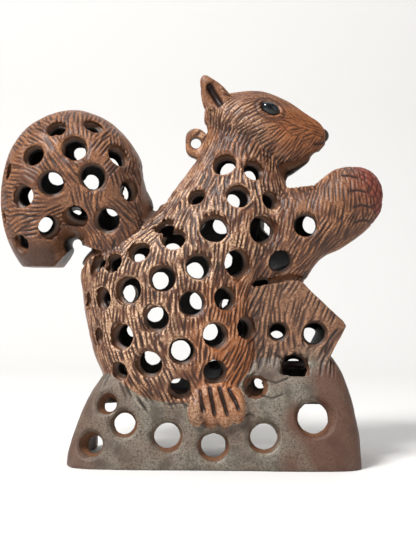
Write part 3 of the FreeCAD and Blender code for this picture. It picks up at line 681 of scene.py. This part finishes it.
def brushed_bead(name, low, high, grain_mm):
    """Stoneware bead with one wash, whose colour the grain of the clay breaks
    from low to high, and a low sheen."""
    made, tree = material(name)
    grain, colour = broken_colour(tree, grain_mm, 3.0, 0.35, 0.65, low, high)
    relief = add(tree, "ShaderNodeBump", {"Strength": 0.35, "Distance": 0.3 * MM, "Height": grain})
    shader = add(tree, "ShaderNodeBsdfPrincipled",
                 {"Base Color": colour, "Roughness": 0.5, "Normal": relief.outputs[0]})
    add(tree, "ShaderNodeOutputMaterial", {0: shader.outputs[0]})
    return made


# ---------------------------------------------------------- parting into the pieces


def owned(mesh):
    """Corners of the mesh's triangles, and the number of the piece that each
    triangle belongs to."""
    owner = read(mesh.attributes["piece"].data, "value", 1, np.int32)
    mesh.calc_loop_triangles()
    triangles = read(mesh.loop_triangles, "vertices", 3, np.int32)
    of_face = read(mesh.loop_triangles, "polygon_index", 1, np.int32)
    return triangles, owner[of_face]


def part(mesh, number, name, normals):
    """Makes an object of the skin's faces that belong to one piece. It keeps the
    skin's colours and its normals, so no seam shows."""
    triangles, owner = owned(mesh)
    mine = triangles[owner == number]
    used, index = np.unique(mine, return_inverse=True)
    points = read(mesh.vertices, "co", 3)[used]
    new = bpy.data.meshes.new(name)
    new.vertices.add(len(used))
    new.vertices.foreach_set("co", points.ravel())
    new.loops.add(mine.size)
    new.loops.foreach_set("vertex_index", index.reshape(-1).astype(np.int32))
    new.polygons.add(len(mine))
    new.polygons.foreach_set("loop_start", np.arange(0, mine.size, 3, dtype=np.int32))
    new.update(calc_edges=True)
    new.polygons.foreach_set("use_smooth", np.ones(len(mine), bool))
    for key in ("groove", "ridge"):
        valued(new, key, read(mesh.attributes[key].data, "value", 1)[used])
    for key in ("ground", "brushed"):
        coloured(new, key, read(mesh.attributes[key].data, "color", 4)[used, :3])
    new.normals_split_custom_set_from_vertices(normals[used].tolist())
    piece = link(name + "_clay", new)
    region = REGION_OF[name]
    new.materials.append(MATERIAL_OF.get(region, FUR_CLAY))
    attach(piece, "root")
    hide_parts(name)


def vertex_regions(mesh):
    """Region of each vertex, from the piece of one of the faces that it is on."""
    triangles, owner = owned(mesh)
    number = np.zeros(len(mesh.vertices), np.int32)
    number[triangles.ravel()] = np.repeat(owner, 3)
    names = np.array([REGION_OF[name] for name in CLAY])
    return names[number]


MOUTH_OPENS = 1.7 * MM       # a wet finger widens each hole's mouth by this
SLAB_OPENS = 0.3 * MM        # and those of the thick slab by this
MOUTH_BEGINS = (0.33, 0.43)  # shares of hidden rays at a mouth's outer edge
MOUTH_ENDS = (0.66, 0.56)    # and at its inner edge
RIM_AT = 0.30                # share of hidden rays on the rim round a mouth
RIM_RISE = 0.40 * MM
STROKE_DEPTH = 0.9 * MM      # depth at which a stroke holds the full dark wash
TIP_X = -74 * MM             # the tail's tip is beyond this and below TIP_Z:
TIP_Z = 121 * MM             # a thumb smoothed it, so its strokes are faint
TIP_STROKES = 0.15
# Unevenness of the hand: its wavelength and height, and its random seed.
SWELLS = ((14 * MM, 0.18 * MM, 3), (5 * MM, 0.06 * MM, 4))


def make_clay():
    """Lutes, softens, scores, washes and parts the clay."""
    rng = np.random.default_rng(11)
    source = luted(CLAY)
    skin = softened(source)
    mesh = surveyed(skin, source)
    points = read(mesh.vertices, "co", 3).astype(np.float64)
    normals = read(mesh.vertex_normals, "vector", 3).astype(np.float64)
    hidden = read(mesh.attributes["hidden"].data, "value", 1).astype(np.float64)
    region = vertex_regions(mesh)
    open_skin = 1.0 - smooth(*OPEN_SKIN, hidden)
    groove, burr = scored(points, normals, region, open_skin, rng)
    calm = open_skin * smooth(0.12, 0.40, np.abs(normals[:, 1]))
    tip = (region == "tail") & (points[:, 0] < TIP_X) & (points[:, 2] < TIP_Z)
    calm = calm * np.where(tip, TIP_STROKES, 1.0)
    groove *= calm
    burr *= calm
    drawn(points, normals, region, groove, burr)
    lid, crease = lids(points, region)
    scales, bare = scaled(points, normals, region)
    groove = np.maximum(np.maximum(groove * (1 - bare), scales), crease)
    burr = np.maximum(burr * (1 - bare), lid)
    rim = RIM_RISE * np.exp(-((hidden - RIM_AT) / 0.08) ** 2)
    opens = np.where(region == "base", SLAB_OPENS, MOUTH_OPENS)
    rim -= opens * smooth(*MOUTH_BEGINS, hidden) * smooth(*MOUTH_ENDS, hidden)
    rim *= (region != "hanging") & (region != "ear") & (region != "foot") & ~tip
    swell = sum(wander(points, size, seed) * height for size, height, seed in SWELLS)
    points += normals * (swell * open_skin + burr + rim - groove)[:, None]
    mesh.vertices.foreach_set("co", points.astype(np.float32).ravel())
    mesh.update()
    normals = read(mesh.vertex_normals, "vector", 3).astype(np.float64)
    ground, brushed = washed(points, normals, region, hidden, bare)
    valued(mesh, "groove", groove / STROKE_DEPTH)
    on_rim = np.exp(-((hidden - RIM_AT) / 0.06) ** 2)
    high = 0.5 + 0.5 * smooth(0.0, 0.22, burr / MM + 0.25 * on_rim)
    valued(mesh, "ridge", high * (1.0 - smooth(0.05, 0.30, groove / MM)))
    coloured(mesh, "ground", ground)
    coloured(mesh, "brushed", brushed)
    for number, name in enumerate(CLAY):
        part(mesh, number, name, normals)
    bpy.data.objects.remove(source)
    bpy.data.objects.remove(skin)


make_clay()

# ------------------------------------------------------------------ beads and nut


def carried_over(name, finish):
    """A frame piece whose shape is right, in its own finish."""
    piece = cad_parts[name]
    piece.data.materials.clear()
    piece.data.materials.append(finish)


NUT_CENTRE = (78.0, 0.0, 147.95)
NUT_HALVES = (15.0, 14.0, 16.0)
NUT_SCALES = (16, 9)         # scales round the nut and from pole to pole
NOSE_CENTRE = (58.6, 0.0, 181.0)
NOSE_HALVES = (3.9, 4.6, 4.3)


def bead_points(u, v, shrink, halves, centre):
    """Ellipsoid x = a cos(v) cos(u), y = b cos(v) sin(u), z = c sin(v), each
    point drawn in towards the middle by the share shrink."""
    shape = np.stack((np.cos(v) * np.cos(u), np.cos(v) * np.sin(u), np.sin(v)), axis=-1)
    return (shape * (1 - shrink)[..., None] * halves + centre) * MM


def bead(name, points, finish, node):
    """Object from a grid of points that closes on itself along its columns."""
    rows, columns = points.shape[:2]
    index = np.arange(rows * columns).reshape(rows, columns)
    after = np.roll(index, -1, axis=1)
    quads = np.stack((index[:-1], after[:-1], after[1:], index[1:]), axis=-1).reshape(-1, 4)
    caps = [index[0, ::-1].tolist(), index[-1].tolist()]
    mesh = bpy.data.meshes.new(name)
    mesh.from_pydata(points.reshape(-1, 3).tolist(), [], quads.tolist() + caps)
    mesh.polygons.foreach_set("use_smooth", np.ones(len(mesh.polygons), bool))
    mesh.materials.append(finish)
    piece = link(name, mesh)
    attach(piece, "root")
    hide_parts(node)


def bead_grid(around, up):
    """Longitudes once round, without the repeated last one, and latitudes."""
    return np.meshgrid(np.linspace(0, 2 * math.pi, around + 1)[:-1], np.linspace(-1.5, 1.5, up))


def nut():
    """The nut, with creases up to 6 % deep between its diamond scales."""
    u, v = bead_grid(256, 129)
    round_it, up = u * NUT_SCALES[0] / 2, v * NUT_SCALES[1]
    crease = np.maximum(np.exp(-(np.sin(round_it + up) / 0.4) ** 2),
                        np.exp(-(np.sin(round_it - up) / 0.4) ** 2))
    bead("nut_scales", bead_points(u, v, 0.06 * crease, NUT_HALVES, NUT_CENTRE),
         brushed_bead("nut_stoneware_red_wash", "#4a2018", "#8a4634", 1.5), "nut")


def nose():
    """The nose, a plain bead pinched a little narrower towards its lower end."""
    u, v = bead_grid(96, 49)
    bead("nose_pad", bead_points(u, v, 0.10 * smooth(0.2, -1.2, v), NOSE_HALVES, NOSE_CENTRE),
         brushed_bead("nose_stoneware_black_wash", "#120c09", "#33241c", 0.8),
         "nose_tip")


nut()
nose()
EYE_GLAZE = eye_glaze()
for side in ("right", "left"):
    carried_over(f"eye_{side}", EYE_GLAZE)


# ------------------------------------------------------------------------- studio


# Square lights: place and side in metres, and power in watts.
LIGHTS = (
    ("window", (-0.70, -0.85, 1.20), 0.40, 33.0),
    ("fill", (0.9, -0.9, 0.5), 0.9, 2.5),
    ("wall_wash", (0.0, 0.15, 1.7), 1.4, 8.0),
)


def studio():
    """Pale floor that curves up into a pale wall behind, soft light from the
    upper left and a weaker fill from the right."""
    across, front, depth, rise, bend = 3.0, -3.0, 0.55, 2.6, 0.35
    turn = np.linspace(0, math.pi / 2, 17)
    profile = [(front, 0.0)] + [(depth + bend * math.sin(a), bend * (1 - math.cos(a))) for a in turn]
    profile.append((depth + bend, rise))
    rows = np.array(profile)
    count = len(rows)
    points = np.concatenate([np.column_stack((np.full(count, x), rows)) for x in (-across, across)])
    faces = [(i, i + count, i + count + 1, i + 1) for i in range(count - 1)]
    mesh = bpy.data.meshes.new("studio_sweep")
    mesh.from_pydata(points.tolist(), [], faces)
    mesh.polygons.foreach_set("use_smooth", np.ones(len(faces), bool))
    sweep = link("studio_sweep", mesh)
    made, tree = material("matt_white_paper")
    shader = add(tree, "ShaderNodeBsdfPrincipled",
                 {"Base Color": linear("#dddcda"), "Roughness": 0.9})
    add(tree, "ShaderNodeOutputMaterial", {0: shader.outputs[0]})
    mesh.materials.append(made)

    world = bpy.data.worlds.new("soft_room")
    world.use_nodes = True
    world.node_tree.nodes["Background"].inputs[0].default_value = (1, 1, 1, 1)
    world.node_tree.nodes["Background"].inputs[1].default_value = 0.31
    bpy.context.scene.world = world
    for name, place, size, power in LIGHTS:
        light = bpy.data.lights.new(name, "AREA")
        light.size = size
        light.energy = power
        lamp = bpy.data.objects.new(name, light)
        bpy.context.collection.objects.link(lamp)
        lamp.location = place
        aim = Vector((0, 0, 0.1)) - Vector(place)
        lamp.rotation_euler = aim.to_track_quat("-Z", "Y").to_euler()


studio()

# ------------------------------------------------------------------------- camera
# Where the camera stands, in metres: in front of the lantern's middle plane,
# a hand's breadth above the floor and a little to the left.
EYE_DISTANCE = 0.600
EYE_LEVEL = 0.1012
EYE_X = -0.0044
FIELD_OF_VIEW = 2 * math.atan(0.259104)      # half the view is this share of its distance
ROLL = math.radians(0.56)


def camera():
    """Level camera looking along +Y, a little rolled, as hand-held."""
    data = bpy.data.cameras.new("camera")
    data.sensor_fit = "VERTICAL"
    data.angle = FIELD_OF_VIEW
    data.clip_start = 0.01
    eye = bpy.data.objects.new("camera", data)
    bpy.context.collection.objects.link(eye)
    eye.matrix_world = (Matrix.Translation((EYE_X, -EYE_DISTANCE, EYE_LEVEL))
                        @ Matrix.Rotation(math.pi / 2, 4, "X") @ Matrix.Rotation(ROLL, 4, "Z"))
    bpy.context.scene.camera = eye


camera()
bpy.context.scene.view_settings.view_transform = "Standard"
